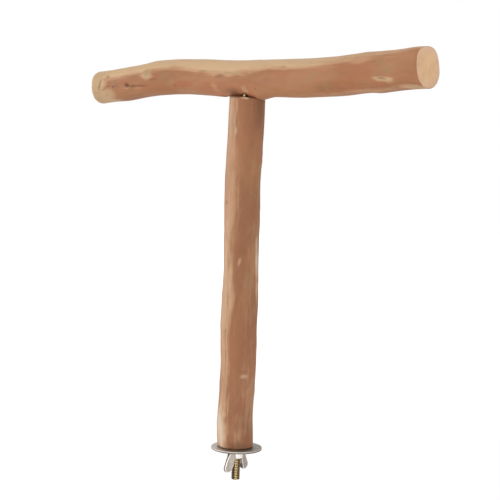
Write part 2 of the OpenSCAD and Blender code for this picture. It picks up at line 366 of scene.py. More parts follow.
# %% Curves through tables, and sections
def curve_at(table, t):
    """A smooth curve through evenly spaced entries, at shares t of the way along.

    Between entries b and c, with a before them, d after them and f the share of the way from b to c, it is
    b + f/2 (c - a + f (2a - 5b + 4c - d + f (3 (b - c) + d - a))).
    """
    table = np.asarray(table, float)
    place = np.asarray(t) * (len(table) - 1)
    i = np.clip(np.floor(place).astype(int), 0, len(table) - 2)
    f = place - i
    a, b, c, d = (table[np.clip(i + k, 0, len(table) - 1)] for k in (-1, 0, 1, 2))
    return b + f / 2 * (c - a + f * (2 * a - 5 * b + 4 * c - d + f * (3 * (b - c) + d - a)))


def turn_between(a, b):
    """The smallest turn between two angles in degrees."""
    return np.abs((a - b + 540) % 360 - 180)


def section_factor(lobes, knots, t, angle):
    """What a section's lobes and knots make of its plain radius, as a factor.

    It is 1, plus height x cos(count x angle + start + turns x t) for each lobe, plus
    height x exp(-(distance along)^2 - (distance round)^2) for each knot.
    """
    factor = np.ones(np.broadcast(t, angle).shape)
    for count, height, start, turns in lobes:
        factor = factor + height * np.cos(np.radians(count * angle + start + 360 * turns * t))
    for along, round_at, height, reach, spread in knots:
        away = ((t - along) / reach) ** 2 + (turn_between(angle, round_at) / spread) ** 2
        factor = factor + height * np.exp(-away)
    return factor


print("halfway between entries 1 and 2:", curve_at([0, 1, 2, 3], 0.5))

# %% [markdown]
# Fine relief comes from smooth noise on a lattice. Random numbers sit at the lattice points, and a soft weight
# 3f² - 2f³ blends the four nearest. The lattice closes round the branch, so that no seam shows.
# Few cells along and many round give long fibres, and equal cells give dents. The seeds are fixed.

# %% Noise that closes round a branch
def growth(t, angle, along_cells, round_cells, seed):
    """Noise from -1 to 1 at shares t along and angles round, on a lattice of cells."""
    lattice = np.random.default_rng(seed).uniform(-1, 1, (along_cells + 2, round_cells))
    u, v = np.clip(t, 0, 1) * along_cells, (angle / 360 % 1) * round_cells
    i, j = np.floor(u).astype(int), np.floor(v).astype(int) % round_cells
    f, g = u - i, v - np.floor(v)
    f, g = f * f * (3 - 2 * f), g * g * (3 - 2 * g)
    beside = (j + 1) % round_cells
    near = lattice[i, j] * (1 - g) + lattice[i, beside] * g
    next_on = lattice[i + 1, j] * (1 - g) + lattice[i + 1, beside] * g
    return near * (1 - f) + next_on * f


def layers(t, angle, table, seed):
    """The sum of height x growth over rows of height, cells along and cells round. Each row takes the next seed."""
    return sum(height * growth(t, angle, along, across, seed + k) for k, (height, along, across) in enumerate(table))


def step_up(value, low, high):
    """A soft step from 0 at low to 1 at high."""
    f = np.clip((value - low) / (high - low), 0, 1)
    return f * f * (3 - 2 * f)


def bell(value, width):
    """1 at zero, and less on both sides of it: exp(-(value / width)^2)."""
    return np.exp(-((value / width) ** 2))


def polar(x, y):
    """Distance from the middle and angle round it in degrees."""
    return np.hypot(x, y), np.degrees(np.arctan2(y, x)) % 360


print("growth at one place:", round(float(growth(np.array(0.3), np.array(40.0), 12, 8, 1)), 3))

# %% [markdown]
# ## One class for both branches
# The arm and the post are the same kind of thing, a section carried along a centre line, so they share a class.
# It knows the centre line, the frame of each section and the marks on the bark, and it can also run backwards:
# from a point in space to its place along, its angle round and its distance out. The finish needs that, so that
# grain runs along the bend and rings stay round the pith, also on faces that were cut later.

# %% The branch class
FACE_ROWS, RIM_ROWS, BODY_ROWS, COLUMNS = 22, 7, 440, 176
# Rows of height, cells along and cells round: dents and fibres in millimetres, and how fibres wander in degrees
DENTS, FIBRES, WANDER = [(0.2, 17, 7), (0.1, 37, 15)], [(0.05, 9, 44), (0.03, 14, 90)], [(9, 16, 5)]
SANDED_OFF = 0.2
READ_BACK_STEPS, PAST_END = 4, 0.02


class Branch:
    """A natural branch with flat sawn ends. Lengths are in millimetres and angles in degrees."""

    def __init__(self, length, radius, girth, lobes, knots, rims, eyes, seed):
        self.length, self.radius, self.girth = length, radius, girth
        self.lobes, self.knots, self.rims, self.eyes, self.seed = lobes, knots, rims, eyes, seed

    def reach(self, t, angle):
        """Radius of the smooth section, as in the solid."""
        return self.radius * curve_at(self.girth, t) * section_factor(self.lobes, self.knots, t, angle)

    def oval(self, t, angle, place, round_at, half_long, half_wide, tilt):
        """Distance from a tilted oval's centre, where 1 is its outline.

        It is the root of (along / half length)^2 + (beside / half width)^2.
        """
        along = (t - place) * self.length
        beside = np.radians((angle - round_at + 540) % 360 - 180) * self.radius
        c, s = math.cos(math.radians(tilt)), math.sin(math.radians(tilt))
        return np.hypot((along * c + beside * s) / half_long, (beside * c - along * s) / half_wide)

    def relief(self, t, angle):
        """How far the real skin stands off the smooth one: dents, long fibres, and sunken eyes with a raised lip."""
        wander = angle + layers(t, angle, WANDER, self.seed + 9)
        height = layers(t, angle, DENTS, self.seed) + layers(t, wander, FIBRES, self.seed + 2) - SANDED_OFF
        for *where, depth in self.eyes:
            away = self.oval(t, angle, *where)
            height = height + depth * (0.35 * bell(away - 1.5, 0.5) - bell(away, 0.8))
        return height

    def stations(self):
        """Place along, share of the radius and draw-in, for each row of the skin.

        The rows run from one end's centre over its rim, along the branch, over the other rim and to its centre.
        """
        first, last = self.rims
        share = np.linspace(0, 1, FACE_ROWS)
        a = np.radians(np.linspace(0, 90, RIM_ROWS + 1))[1:]
        body = np.linspace(first, self.length - last, BODY_ROWS + 2)[1:-1]
        last_rim = last * (1 - np.cos(a))[::-1]
        along = [0 * share, first * (1 - np.cos(a)), body, self.length - last_rim, self.length + 0 * share]
        shares = [share, np.ones(2 * RIM_ROWS + BODY_ROWS), share[::-1]]
        inset = [first + 0 * share, first * (1 - np.sin(a)), 0 * body, last * (1 - np.sin(a))[::-1], last + 0 * share]
        return (np.concatenate(rows)[:, None] for rows in (along, shares, inset))

    def skin(self, name):
        """The whole closed skin: place(along) + reach x (cos angle x side + sin angle x up)."""
        along, share, inset = self.stations()
        angle = np.arange(COLUMNS)[None, :] * 360 / COLUMNS
        t = along / self.length
        reach = share * (self.reach(t, angle) + self.relief(t, angle) - inset)
        centre, ahead, side, up_way = self.frame(t)
        turned = np.radians(angle)[..., None]
        out = reach[..., None] * (np.cos(turned) * side + np.sin(turned) * up_way)
        face = self.face_relief(share, angle, t) * np.where(t < 0.5, 1, -1)
        return capped_tube(name, centre + out + face[..., None] * ahead)

    def face_relief(self, share, angle, t):
        """Saw marks on an end face, in millimetres inwards: fine lines across it and a slight unevenness."""
        on_face = step_up(1 - np.abs(t - 0.5) * 2, 0.004, 0.0)
        x, y = share * np.cos(np.radians(angle)), share * np.sin(np.radians(angle))
        lines = 0.012 * np.sin(26 * x + 9 * y + 2 * np.sin(3 * y))
        return on_face * (0.06 + lines + 0.012 * np.sin(4 * x - 7 * y)) * step_up(share, 0, 0.15)

    def read_back(self, points):
        """Place along, angle round and distance out of points in space, found in a few steps from a first guess."""
        t = self.first_guess(points)
        for _ in range(READ_BACK_STEPS):
            centre, ahead, side, up_way = self.frame(t)
            step = np.einsum("ij,ij->i", points - centre, ahead) / self.length
            t = np.clip(t + step, -PAST_END, 1 + PAST_END)
        centre, ahead, side, up_way = self.frame(t)
        out, angle = polar(*(np.einsum("ij,ij->i", points - centre, way) for way in (side, up_way)))
        return t, angle, out


print("vertices on a branch's skin:", (2 * (FACE_ROWS + RIM_ROWS) + BODY_ROWS - 2) * COLUMNS + 2)

# %% [markdown]
# ## The arm
# The arm is about 30 cm long and finger thick, barked and sanded. Its low end is worn round like a pebble, and its
# raised end is sawn flat. Underneath it has a round seat for the post's top and a splintered notch, where the screw
# went in at the edge and broke out some chips.

# %% The arm's numbers
POST_LENGTH, SCREW_X, SEAT_DEPTH = 262.5, -3.8, 1.2
ARM_LENGTH, ARM_R, ARM_RIMS = 294.7, 14.0, (3.4, 0.8)
JOINT_SHARE = 138.5 / ARM_LENGTH
# Rise and sway are in these units of millimetres. All three tables run evenly from the low end to the raised end
RISE_MM, SWAY_MM = 15.0, 3.0
ARM_RISE = [-0.88, -0.66, -0.365, -0.13, -0.07, -0.06, 0, 0.1, 0.205, 0.36, 0.615, 0.77, 1.015]
ARM_SWAY = [-0.9, -0.5, -0.1, 0.2, 0.3, 0.15, 0, -0.1, -0.1, 0.1, 0.4, 0.6, 0]
ARM_GIRTH = [0.905, 0.92, 0.93, 0.975, 0.985, 0.995, 1, 1, 1.01, 1.03, 1.04, 1.055, 1.045]
ARM_LOBES = [(2, 0.016, 70, 0.3), (3, 0.012, 200, -0.5), (4, 0.02, 180, 0), (5, 0.006, 20, 1.2), (1, 0.01, 120, 2.6)]
ARM_KNOTS = [
    (0, 250, 0.075, 0.018, 40), (0.08, 180, 0.03, 0.014, 20), (0.09, 262, 0.035, 0.025, 40),
    (0.125, 190, 0.03, 0.014, 18), (0.19, 160, 0.04, 0.018, 24), (0.2, 105, 0.055, 0.03, 40),
    (0.28, 210, 0.035, 0.018, 24), (0.42, 165, 0.02, 0.03, 26), (0.53, 258, 0.14, 0.019, 38),
    (0.56, 30, 0.045, 0.026, 34), (0.64, 262, 0.03, 0.06, 40), (0.76, 340, 0.035, 0.024, 30),
    (0.868, 262, 0.06, 0.02, 36), (0.9, 200, 0.03, 0.026, 24), (0.925, 262, -0.03, 0.022, 36),
    (1, 50, 0.06, 0.03, 26), (1, 132, 0.022, 0.05, 26), (1, 285, 0.045, 0.03, 45),
]
# Eyes of old twigs, which are sunken ovals: place along, angle round, half length, half width, tilt and depth
ARM_EYES = [
    (0.077, 186, 1.4, 1.2, 0, 0.3), (0.125, 190, 2.2, 1.5, 0, 0.45), (0.19, 162, 3.4, 2.4, 0, 0.3),
    (0.276, 210, 2.4, 1.5, 0, 0.3), (0.898, 199, 4.2, 1.0, 9, 0.35), (0.0325, 178, 5.2, 0.8, 106, 0.3),
    (0.56, 30, 2.6, 1.8, 0, 0.35), (0.76, 340, 2.2, 1.6, 0, 0.3),
]
ARM_HEIGHT = POST_LENGTH - SEAT_DEPTH + ARM_R * float(curve_at(ARM_GIRTH, JOINT_SHARE))
print("the arm's centre line is", round(ARM_HEIGHT, 1), "mm up at the joint")

# %% The arm's centre line
LOOK_ROUND = 0.02


class Arm(Branch):
    """The crosswise branch. Its sections stand square to its centre line, with angle 0 at +Y and 90 on top."""

    def centre(self, t):
        rise, sway = (curve_at(table, t) - curve_at(table, JOINT_SHARE) for table in (ARM_RISE, ARM_SWAY))
        x = SCREW_X + self.length * (t - JOINT_SHARE)
        return np.stack([x, SWAY_MM * sway, ARM_HEIGHT + RISE_MM * rise], -1)

    def frame(self, t):
        """Centre, and the directions ahead, to the side and up. Ahead runs from a little before t to a little after."""
        ahead = self.centre(np.minimum(1, t + LOOK_ROUND)) - self.centre(np.maximum(0, t - LOOK_ROUND))
        ahead = ahead / np.linalg.norm(ahead, axis=-1, keepdims=True)
        side = np.cross([0.0, 0.0, 1.0], ahead)
        side = side / np.linalg.norm(side, axis=-1, keepdims=True)
        return self.centre(t), ahead, side, np.cross(ahead, side)

    def first_guess(self, points):
        return (points[:, 0] - SCREW_X) / self.length + JOINT_SHARE


arm = Arm(ARM_LENGTH, ARM_R, ARM_GIRTH, ARM_LOBES, ARM_KNOTS, ARM_RIMS, ARM_EYES, seed=11)
print("the arm's ends are at", arm.centre(np.array([0.0, 1.0])).round(1).tolist())

# %% Round tools, and the tool for the notch
NOTCH_R, NOTCH_HEIGHT, NOTCH_REACH, NOTCH_TURN = 4.6, 2.8, 18.5, math.radians(36)
SPLINTERS = [(0.1, 9, 26), (0.05, 20, 50)]


def steps_round(count):
    """A row of angles in radians, evenly spaced round a circle."""
    return np.linspace(0, 2 * np.pi, count, endpoint=False)[None, :]


def turned_form(radius, angle, height, place=(0, 0)):
    """Points round an upright axis: the place plus radius x (cos angle, sin angle), at their height."""
    x, y = place[0] + radius * np.cos(angle), place[1] + radius * np.sin(angle)
    return np.stack([x, y, height + 0 * angle], -1)


def round_tool(name, radius, low, high, place=(0, 0)):
    """A round bar that stands between two heights: its circle carried from low to high."""
    share, height = np.array([[0], [1], [1], [0]]), np.array([[low], [low], [high], [high]])
    return capped_tube(name, turned_form(radius * share, steps_round(96), height, place))


def splinter_tool(name):
    """The space of the notch: a bar from the screw out through the arm's front, whose roof is broken by fibres."""
    angle = steps_round(72)
    along = np.concatenate([[0], np.linspace(0, 1, 30), [1]])[:, None]
    share = np.ones_like(along)
    share[[0, -1]] = 0
    broken = 1 + layers(along, np.degrees(angle), SPLINTERS, 5)
    reach = NOTCH_R * broken * share * (0.9 + 0.16 * along)
    away, aside = NOTCH_REACH * along, reach * np.cos(angle)
    c, s = math.cos(NOTCH_TURN), math.sin(NOTCH_TURN)
    height = POST_LENGTH + NOTCH_HEIGHT - NOTCH_R + reach * np.sin(angle)
    return capped_tube(name, np.stack([SCREW_X + aside * c + away * s, aside * s - away * c, height], -1))


print("the notch reaches", NOTCH_REACH, "mm out from the screw")

# %% The arm's skin and its cuts
SEAT_R, SCREW_R, RUNNING_FIT = 17.25, 3.175, 0.05
# Heights from the post's top, for the ends of the tools
SEAT_FROM, BORE_FROM, BORE_TO = -12, -3, 20

arm_piece = arm.skin("branch_arm")
whole = len(arm_piece.data.polygons)
cut(
    arm_piece,
    round_tool("seat", SEAT_R, POST_LENGTH + SEAT_FROM, POST_LENGTH, (SCREW_X, 0)),
    round_tool("arm_bore", SCREW_R + RUNNING_FIT, POST_LENGTH + BORE_FROM, POST_LENGTH + BORE_TO, (SCREW_X, 0)),
    splinter_tool("notch"),
)
print("arm:", whole, "faces before the cuts,", len(arm_piece.data.polygons), "after")

# %% [markdown]
# ## The post
# The post stands upright and bows a little. Both ends are sawn, and the rims were softened with sandpaper.
# Its foot is drilled for the stud and its top for the screw.

# %% The post's numbers
POST_R, POST_RIMS = 13.5, (1.5, 0.7)
# Bow and sway are in these units of millimetres. All three tables run evenly from the foot to the top
BOW_MM, POST_SWAY_MM = -2.4, 1.8
POST_BOW = [0.48, 1.06, 0.83, 0.93, 1.31, 1.29, 1.12, 1.12, 1, 1.02, 0.77, 0.33, 0.38]
POST_SWAY = [0, 0.2, 0.5, 0.8, 1, 1, 0.8, 0.5, 0.2, 0, -0.1, -0.1, 0]
POST_GIRTH = [1.012, 1.006, 0.996, 1.006, 1.037, 1.04, 0.996, 0.997, 1.012, 1, 1, 1, 1]
POST_LOBES = [(2, 0.012, 10, 0.4), (3, 0.01, 140, 0.8), (5, 0.005, 60, -1.4)]
POST_KNOTS = [
    (0.21, 330, 0.03, 0.024, 26), (0.34, 262, 0.02, 0.02, 22), (0.54, 302, 0.03, 0.026, 26),
    (0.7, 244, 0.02, 0.02, 22), (0.42, 80, 0.04, 0.03, 34), (0.83, 40, 0.03, 0.026, 30),
]
POST_EYES = [
    (0.541, 303, 2.6, 1.2, 60, 0.2), (0.215, 327, 2.0, 3.0, 0, 0.15), (0.704, 250, 1.6, 0.8, 0, 0.2),
    (0.42, 80, 2.6, 1.8, 0, 0.3), (0.83, 40, 2.2, 1.5, 0, 0.3),
]
print("the post is", POST_LENGTH, "mm long")

# %% The post's centre line, skin and bores
STUD_R, HOLDING_FIT = 3.175, 0.02
# Heights of the tools' ends, from the foot and from the top
FOOT_BORE, TOP_BORE = (-2, 27.2), (-20, 2)


class Post(Branch):
    """The upright branch. Its sections are level, with angle 0 at +X and 90 at +Y."""

    def centre(self, t):
        return np.stack([BOW_MM * curve_at(POST_BOW, t), POST_SWAY_MM * curve_at(POST_SWAY, t), self.length * t], -1)

    def frame(self, t):
        """Centre, and the directions ahead, to the side and up, of which the last two are level here."""
        level = np.ones(np.shape(t) + (1,))
        return self.centre(t), level * [0.0, 0.0, 1.0], level * [1.0, 0.0, 0.0], level * [0.0, 1.0, 0.0]

    def first_guess(self, points):
        return points[:, 2] / self.length


post = Post(POST_LENGTH, POST_R, POST_GIRTH, POST_LOBES, POST_KNOTS, POST_RIMS, POST_EYES, seed=31)
post_piece = post.skin("branch_post")
cut(
    post_piece,
    round_tool("foot_bore", STUD_R + HOLDING_FIT, *FOOT_BORE),
    round_tool("top_bore", SCREW_R + RUNNING_FIT, *(POST_LENGTH + height for height in TOP_BORE), (SCREW_X, 0)),
)
print("post:", len(post_piece.data.polygons), "faces")

# %% [markdown]
# ## Marks on the wood
# Each branch carries masks on its vertices: pale wood, which is worn wood and painted light, dark cracks and painted
# shade, redder inner bark, weathered olive wood, and sawn wood. They could be painted by hand as an image, but an image
# belongs to one mesh. Worked out from the place along and the angle round, they fit any mesh of the same branch, and
# noise keeps their edges natural.
# Single marks are tilted ovals, listed for each mask as a carver would note them: where, how big and how strong.

# %% Masks on a branch
MASKS = ("pale", "dark", "red", "olive")
RAGGED = [(0.2, 60, 16), (0.14, 30, 70)]
# Depths under the bark between which wood begins to count as cut, and the share of a rim that counts as its face
CUT_FROM, CUT_TO, FACE_SHARE = 0.35, 0.75, 0.35


def round_axis(points, x=0.0):
    """Distance out from an upright axis at x, and the angle round it in degrees."""
    return polar(points[:, 0] - x, points[:, 1])


def write_marks(branch, piece, grown, marks, painted_shade):
    """Reads every vertex back to its place on the branch and stores the straightened place and the masks.

    A mark is a soft tilted oval whose edge is moved about by noise: its amount inside, and nothing outside.
    """
    points = vertices_mm(piece)
    t, angle, out = branch.read_back(points)
    turned = np.radians(angle)
    straight = np.stack([t * branch.length, out * np.cos(turned), out * np.sin(turned)], -1)
    depth = branch.reach(t, angle) + branch.relief(t, angle) - out
    first, last = branch.rims
    near_end = np.minimum(t * branch.length / first, (1 - t) * branch.length / last)
    sawn = np.where(near_end > 1, step_up(depth, CUT_FROM, CUT_TO), step_up(near_end, FACE_SHARE, 0.0))
    masks = dict(zip(MASKS, grown(t, angle)))
    ragged = layers(t, angle, RAGGED, branch.seed + 40)
    for name, rows in marks.items():
        for *oval, soft, amount in rows:
            inside = step_up(branch.oval(t, angle, *oval) + ragged, 1 + soft, 1 - soft)
            masks[name] = np.maximum(masks[name], amount * inside)
    # The dark mask also takes the branch's painted shade lines, where it meets another part.
    masks["dark"] = np.maximum(masks["dark"], painted_shade(points))
    put_attribute(piece, "straight", straight * MM)
    for name, mask in (masks | {"sawn": sawn}).items():
        put_attribute(piece, name, np.clip(mask, 0, 1))
    return smooth(piece)


print("masks:", MASKS)

# %% The arm's marks
# Edge and fade of the pale band on top, in degrees round the arm, and its share of pale. The band is worn wood and
# painted light from above.
PALE_EDGE = [150, 153, 155, 154, 156, 151, 150, 152, 157, 158, 160, 161, 154,
             150, 144, 146, 146, 145, 142, 140, 148, 137, 134, 130, 122]
PALE_FADE = [34, 36, 38, 34, 32, 42, 40, 42, 42, 42, 42, 42, 40]
PALE_SHARE = [1, 1, 1, 1, 1, 1, 1, 1, 1, 0.8, 0.62, 0.6, 0.6]
# For each mask: place along, angle round, half length and half width in mm, tilt, softness and amount
ARM_MARKS = {
    "pale": [
        (0.041, 178, 5, 0.9, 104, 0.6, 1), (0.056, 212, 5, 5, 0, 0.9, 1), (0.12, 199, 2.2, 0.5, 0, 0.6, 0.5),
        (0.15, 205, 3.2, 0.5, 0, 0.6, 0.4), (0.186, 167, 4.8, 3.8, 20, 0.8, 0.78), (0.31, 232, 14, 0.9, 2, 0.7, 0.3),
        (0.35, 330, 14, 2.4, 4, 0.7, 0.6), (0.408, 211, 6.5, 3, 59, 0.9, 0.27), (0.452, 152, 3.4, 0.5, -4, 0.6, 1),
        (0.499, 213, 2.8, 3.4, 0, 0.6, 0.45), (0.66, 300, 20, 2, -3, 0.7, 0.5), (0.807, 137, 7, 1.4, 9, 0.6, 0.6),
        (0.85, 241, 30, 3.2, 0, 0.8, 0.35), (0.904, 202, 8.6, 1.7, 9, 0.7, 0.78), (0.917, 208, 3.6, 2.2, 0, 0.8, 0.42),
        (0.97, 243, 11, 3.2, 12, 0.7, 0.72),
    ],
    # Of the dark marks, the broad faint one at 0 and 200 is painted shade on the low end, and the one at 0.463 and 225,
    # left of the notch, is painted shade beside the joint.
    "dark": [
        (0, 200, 9, 26, 0, 0.9, 0.07), (0.0325, 178, 5, 0.9, 106, 0.7, 0.5), (0.046, 216, 1.8, 0.5, 100, 0.6, 0.25),
        (0.059, 150, 1.3, 0.9, 0, 0.6, 0.3), (0.061, 182, 4.6, 0.5, 3, 0.7, 0.4),
        (0.0775, 187, 1.3, 0.9, -35, 0.5, 0.8), (0.087, 183, 2.8, 2.2, 0, 0.9, 0.26),
        (0.122, 189, 2.3, 1.4, 25, 0.9, 0.85), (0.141, 195, 4.4, 0.9, 7, 0.8, 0.65),
        (0.16, 198, 6.5, 0.6, 7, 0.7, 0.6), (0.19, 180, 34, 5.4, 0, 0.9, 0.11), (0.2, 183, 6, 0.5, 0, 0.7, 0.4),
        (0.276, 210, 2, 1.3, 0, 0.8, 0.32), (0.426, 170, 4.2, 1.3, -8, 0.7, 0.35), (0.463, 225, 5, 3.4, 20, 0.8, 0.5),
        (0.4985, 205, 1.6, 0.5, 55, 0.6, 0.4), (0.506, 209, 1.4, 0.5, -60, 0.6, 0.4),
        (0.5344, 209, 0.9, 0.7, 0, 0.5, 0.5), (0.56, 30, 2, 1.4, 0, 0.5, 0.7), (0.76, 340, 1.7, 1.2, 0, 0.5, 0.6),
        (0.897, 199, 3, 0.5, 9, 0.6, 0.3), (0.955, 172, 11, 9, 0, 0.9, 0.08), (0.994, 152, 0.9, 5, 0, 0.9, 0.2),
    ],
    "red": [
        (0.11, 178, 6, 1.2, 0, 0.6, 0.9), (0.21, 175, 4, 2.2, 0, 0.6, 0.9), (0.268, 217, 4, 2, 0, 0.5, 1),
        (0.3, 203, 10, 2.6, 0, 0.5, 1), (0.5215, 236, 1.8, 1.3, 0, 0.5, 1),
    ],
    "olive": [
        (0.018, 180, 8, 15, 0, 0.8, 0.34), (0.058, 205, 4, 4, 0, 0.7, 0.45), (0.059, 150, 1.8, 1.3, 0, 0.5, 0.9),
        (0.086, 180, 3, 2.6, 0, 0.6, 0.5), (0.188, 160, 3.2, 2.8, 0, 0.7, 0.85), (0.22, 20, 8, 2.4, 6, 0.7, 0.6),
        (0.369, 158, 4.4, 0.7, -3, 0.6, 0.8), (0.46, 162, 9, 0.8, 5, 0.6, 0.8), (0.616, 142, 2.2, 1.2, 0, 0.6, 0.6),
        (0.682, 189, 2, 1.5, 0, 0.7, 0.5), (0.7, 182, 5, 2, -40, 0.8, 0.5), (0.897, 199, 3.6, 0.8, 9, 0.5, 1),
        (0.907, 174, 4, 2.6, 0, 0.9, 0.5), (0.98, 243, 5, 2, 16, 0.6, 0.4),
    ],
}


def arm_grown(t, angle):
    """The arm's four masks before any marks: pale wood on top, which is worn wood and painted light from above, worn
    wood at the low end, darker bark and redder bark.

    The pale band's soft lower edge is drawn out along the grain.
    """
    drawn_out = angle + layers(t, angle, [(4, 14, 46), (3, 44, 90), (3, 9, 5)], 71)
    edge, fade = curve_at(PALE_EDGE, t), curve_at(PALE_FADE, t)
    top = step_up(drawn_out, edge + fade / 2, edge - fade / 2) * step_up(drawn_out, 12, 36) * curve_at(PALE_SHARE, t)
    worn_to = 13 + 6 * step_up(angle, 188, 212)
    from_end = t * ARM_LENGTH + layers(t, angle, [(4, 12, 50), (2, 60, 16)], 74)
    low_end = step_up(from_end, worn_to + 5, worn_to - 4)
    raised_half = step_up(t, 0.58, 0.72) * step_up(t, 0.995, 0.985) * step_up(angle, 232, 218)
    dark = 0.05 * raised_half + 0.04 * step_up(t, 0.34, 0.26)
    red = step_up(layers(t, angle, [(1, 10, 5), (0.6, 26, 13)], 81), 0.05, 0.7)
    return np.maximum(top, 0.85 * low_end), dark, 0.5 * red, 0 * t


def seam_shade(points):
    """Painted shade and dirt in the seam: a dark line where the arm's skin meets the seat, near the seat's radius and
    low down.
    """
    from_seat = round_axis(points, SCREW_X)[0] - SEAT_R
    beside_post = step_up(round_axis(points)[0], 17.5, 15.5)
    low = step_up(points[:, 2], POST_LENGTH + 2.4, POST_LENGTH + 1.0)
    return 0.75 * bell(from_seat, 0.6) * beside_post * low


write_marks(arm, arm_piece, arm_grown, ARM_MARKS, seam_shade)
print("arm:", sum(map(len, ARM_MARKS.values())), "marks")

# %% The post's marks
# Edge of the pale strip down the left, in degrees round the post, and its share of pale. The strip is paler wood and
# painted light from the left.
LEFT_EDGE = [274, 273, 273, 276, 273, 280, 281, 280, 283, 285, 283, 277, 277]
LEFT_SHARE = [0.5, 0.5, 0.36, 0.4, 0.48, 0.52, 0.52, 0.47, 0.39, 0.32, 0.36, 0.44, 0.42]
POST_MARKS = {
    "pale": [
        (0.045, 312, 14, 4.6, 0, 0.9, 0.26), (0.05, 249, 22, 5.6, -2, 0.85, 0.85), (0.212, 327, 1.8, 3.2, 0, 0.7, 0.5),
        (0.3, 130, 22, 2.2, 3, 0.7, 0.5), (0.46, 12, 12, 1.6, -3, 0.8, 0.6), (0.54, 8, 15, 2.4, -3, 0.8, 0.9),
        (0.541, 303, 3.8, 1.3, 16, 0.9, 0.42), (0.8, 110, 18, 1.6, 2, 0.7, 0.5), (0.905, 270, 3, 1.2, 10, 0.9, 0.6),
        (0.998, 301, 0.7, 2.4, 0, 0.6, 0.75),
    ],
    "dark": [
        (0.012, 315, 2.6, 8, 0, 0.8, 0.45), (0.045, 347, 11, 3, 0, 0.8, 0.22), (0.226, 325, 0.9, 3, 0, 0.8, 0.12),
        (0.338, 264, 1.8, 0.8, 0, 0.5, 0.4), (0.42, 80, 2, 1.4, 0, 0.5, 0.7), (0.704, 250, 1.6, 0.8, 0, 0.5, 0.5),
        # The dark marks at 0.97 and 0.975 are painted shade under the arm, the first also a darker strip of bark at the
        # right edge.
        (0.83, 40, 1.7, 1.2, 0, 0.5, 0.6), (0.9, 22, 16, 2.4, 0, 0.6, 0.55), (0.97, 356, 14, 6.4, 0, 0.9, 0.45),
        (0.975, 322, 13, 7, 0, 0.9, 0.12),
    ],
    "red": [
        (0.03, 312, 7, 7, 0, 0.6, 0.4), (0.93, 308, 20, 6, 0, 0.9, 0.7), (0.978, 322, 0.5, 4.5, -6, 0.5, 1),
        (0.988, 324, 0.5, 4, 8, 0.5, 1),
    ],
    "olive": [
        (0.17, 262, 8, 1.6, 0, 0.6, 0.5), (0.65, 160, 16, 2.4, -3, 0.7, 0.5), (0.92, 258, 12, 2, 0, 0.6, 0.5),
    ],
}


def post_grown(t, angle):
    """The post's four masks before any marks: pale down the left and right, which is paler wood and painted light from
    the lamps on those sides, darker streaks, redder patches.
    """
    drawn_out = angle + layers(t, angle, [(12, 12, 50), (7, 30, 80), (8, 7, 5)], 91)
    edge = curve_at(LEFT_EDGE, t)
    left = step_up(drawn_out, edge + 21, edge - 21) * step_up(drawn_out, 190, 214)
    left = curve_at(LEFT_SHARE, t) * left * (0.5 + 0.5 * step_up(angle, 222, 250))
    right_share = (0.24 - 0.1 * step_up(t, 0.16, 0.26)) * step_up(t, 0.8, 0.6) * step_up(t, 0.01, 0.06)
    right_side = right_share * step_up(turn_between(drawn_out, 352), 40, 14)
    dark = step_up(layers(t, angle, [(1, 12, 7), (0.4, 30, 40)], 94), 0.5, 1.1)
    red = step_up(layers(t, angle, [(1, 8, 5), (0.5, 22, 12)], 96), 0.0, 0.8)
    return np.maximum(left, right_side), 0.1 * dark, 0.5 * red, 0 * t


def rim_shade(points):
    """Painted shade: dark lines at the post's top under the arm, but for a bright sliver under the notch, and under its
    foot, most at the right.
    """
    height = points[:, 2]
    at_notch, at_right = turn_between(round_axis(points, SCREW_X)[1], 304), turn_between(round_axis(points)[1], 342)
    top = 0.6 * step_up(height, POST_LENGTH - 1.2, POST_LENGTH - 0.4) * step_up(at_notch, 10, 18)
    return np.maximum(top, step_up(height, 1.6, 0.4) * (0.35 + 0.5 * step_up(at_right, 44, 22)))


write_marks(post, post_piece, post_grown, POST_MARKS, rim_shade)
print("masks:", [a.name for a in post_piece.data.attributes if a.domain == "POINT" and a.name != "position"])

# %% [markdown]
# ## The wood finish
# Barked and sanded wood is matt. What the eye reads is colour: broad warm patches, streaks along the grain, fine
# fibres, pale places, which are worn wood and painted light, and dark eyes and painted shade. The straightened place
# stands in for the branch's own coordinates, so noise stretched along it follows every bend. Sawn faces show rings,
# which are waves of the distance from the pith.

# %% Wood
# Noise along the grain: cells a metre along and across, place aside, detail and roughness
GRAIN = [((18, 60), (0, 0), 3, 0.5), ((60, 110), (9, 4), 3, 0.6), ((34, 520), (3, 0), 4, 0.6),
         ((120, 2300), (0, 3), 3, 0.65), ((110, 240), (7, 1), 4, 0.6)]
# Radians of the rings' wave a metre, and where the sapwood begins, in metres from the pith
RING_WAVES, SAPWOOD_FROM, SAPWOOD_TO = 5200, 0.010, 0.013


def bark(finish, colours, grain):
    """The branch's skin: patches of plain and deeper wood, then pale wood, worn and painted light, then fibres, and
    dark eyes and painted shade.
    """
    plain, deep, tan, pale, red, dark, olive, mauve = colours
    broad, tints, streaks, fibres, blotch = grain
    worn_and_lit = finish.attribute("pale") + 0.35 * (streaks - 0.5) + 0.3 * (blotch - 0.5)
    colour = finish.coats(
        plain,
        (broad.ramp(0.38, 0.64), deep),
        (tints.ramp(0.52, 0.68) * 0.6, mauve),
        (tints.ramp(0.46, 0.32) * 0.35, olive),
        (finish.attribute("red") * (0.45 + 0.8 * blotch).ramp(0, 1), red),
        (worn_and_lit.ramp(0.08, 0.5), tan),
        (worn_and_lit.ramp(0.4, 0.92), pale),
        (finish.attribute("olive") * (0.2 + 0.9 * blotch).ramp(0, 1), olive),
    )
    colour = finish.dim(colour, 0.84 + 0.18 * streaks + 0.14 * blotch)
    return finish.coats(colour, (fibres.ramp(0.56, 0.78) * 0.24, deep), (finish.attribute("dark"), dark))


